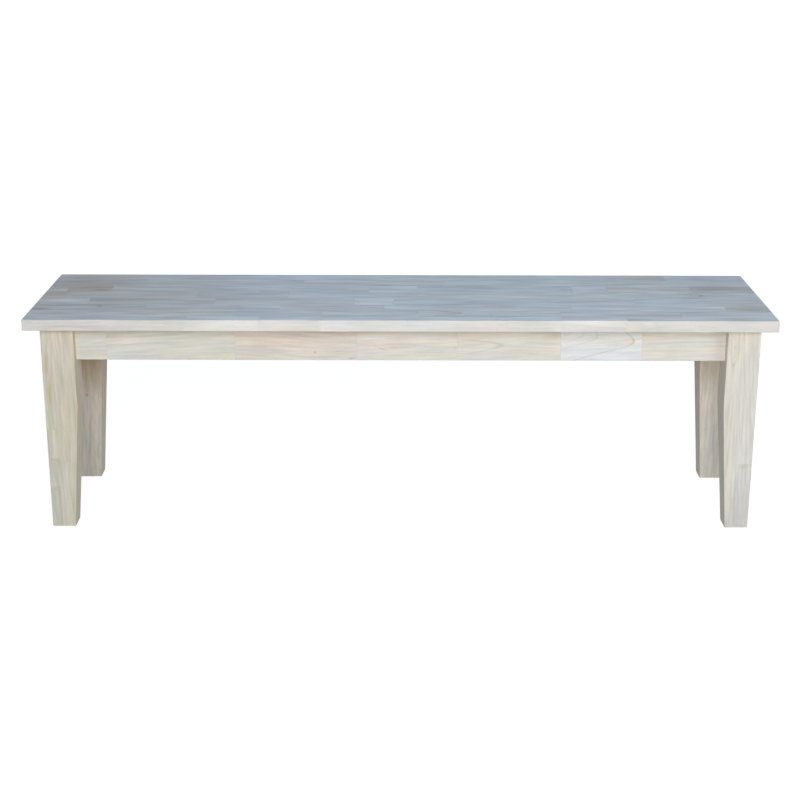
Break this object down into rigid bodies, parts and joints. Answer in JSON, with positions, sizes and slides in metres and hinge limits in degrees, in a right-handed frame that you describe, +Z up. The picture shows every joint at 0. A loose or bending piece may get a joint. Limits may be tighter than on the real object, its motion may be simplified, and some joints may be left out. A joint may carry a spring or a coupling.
{
  "type": "shaker bench",
  "caption": "Long plain backless wooden bench with square legs tapered on their inner faces, deep aprons and an overhanging finger-jointed seat board.",
  "frame": {"origin": "on the floor under the middle of the bench", "axes": "+X along the bench to the right, +Y from front to back, +Z up to the seat"},
  "size_m": [1.524, 0.394, 0.457],
  "materials": {
    "seat_wood": "sanded, unfinished",
    "apron_wood": "sanded, unfinished",
    "leg_wood": "sanded, unfinished",
    "block_wood": "sawn, unfinished",
    "zinc_steel": "zinc plated",
    "screw_steel": "yellow zinc plated"
  },
  "bodies": {
    "root": {"seat_board": "seat_wood", "front_apron": "apron_wood", "back_apron": "apron_wood", "left_end_apron": "apron_wood", "right_end_apron": "apron_wood", "centre_rail": "block_wood", "front_left_leg": "leg_wood", "front_left_corner_block": "block_wood", "front_right_leg": "leg_wood", "front_right_corner_block": "block_wood", "back_right_leg": "leg_wood", "back_right_corner_block": "block_wood", "back_left_leg": "leg_wood", "back_left_corner_block": "block_wood", "front_hanger_bolts": "zinc_steel", "front_washers": "zinc_steel", "front_hex_nuts": "zinc_steel", "front_block_screws": "screw_steel", "back_hanger_bolts": "zinc_steel", "back_washers": "zinc_steel", "back_hex_nuts": "zinc_steel", "back_block_screws": "screw_steel", "rail_screws": "screw_steel"}
  },
  "joints": []
}
